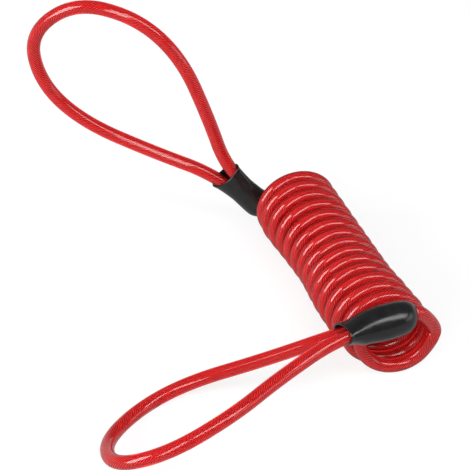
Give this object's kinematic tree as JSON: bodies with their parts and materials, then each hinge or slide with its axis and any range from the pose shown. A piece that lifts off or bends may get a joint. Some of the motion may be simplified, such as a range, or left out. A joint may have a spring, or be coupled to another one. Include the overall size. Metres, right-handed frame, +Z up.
{
  "type": "coiled security cable",
  "caption": "Close-wound coil of red coated steel cable with a teardrop eye at each end, each eye closed by a crimp under a black boot.",
  "frame": {"origin": "under the middle of the whole object's box, on the surface it lies on", "axes": "+Y along the coil from the near eye to the far eye, +Z up, +X to the side that the eyes leave clear"},
  "size_m": [0.111, 0.1492, 0.0834],
  "materials": {
    "red_jacket": "glossy clear red over the rope's lay",
    "black_boot": "satin",
    "crimped_metal": "satin",
    "steel_rope": "stranded"
  },
  "bodies": {
    "coil": {"coil_cable": "red_jacket"},
    "near_lead": {"near_lead_cable": "red_jacket"},
    "near_eye": {"near_boot": "black_boot", "near_ferrule": "crimped_metal", "near_tail_jacket": "red_jacket", "near_eye_jacket": "red_jacket", "near_eye_rope": "steel_rope"},
    "far_eye": {"far_boot": "black_boot", "far_ferrule": "crimped_metal", "far_tail_jacket": "red_jacket", "far_eye_jacket": "red_jacket", "far_eye_rope": "steel_rope"}
  },
  "joints": [
    {"name": "coil_stretch", "type": "slide", "parent": "coil", "child": "near_lead", "axis": [0, -1, 0], "range_m": [0, 0.75], "stiffness_N_per_m": 12, "deforming": ["coil_cable"]},
    {"name": "near_eye_swing", "type": "hinge", "parent": "near_lead", "child": "near_eye", "pos_m": [0.05164, -0.05033, 0.0208], "axis": [0, 0, 1], "range_deg": [0, 50], "stiffness_Nm_per_rad": 0.02, "deforming": ["near_lead_cable"]},
    {"name": "far_eye_swing", "type": "hinge", "parent": "coil", "child": "far_eye", "pos_m": [0.04064, 0.02657, 0.0025], "axis": [0, 0, 1], "range_deg": [-45, 12], "stiffness_Nm_per_rad": 0.02}
  ]
}
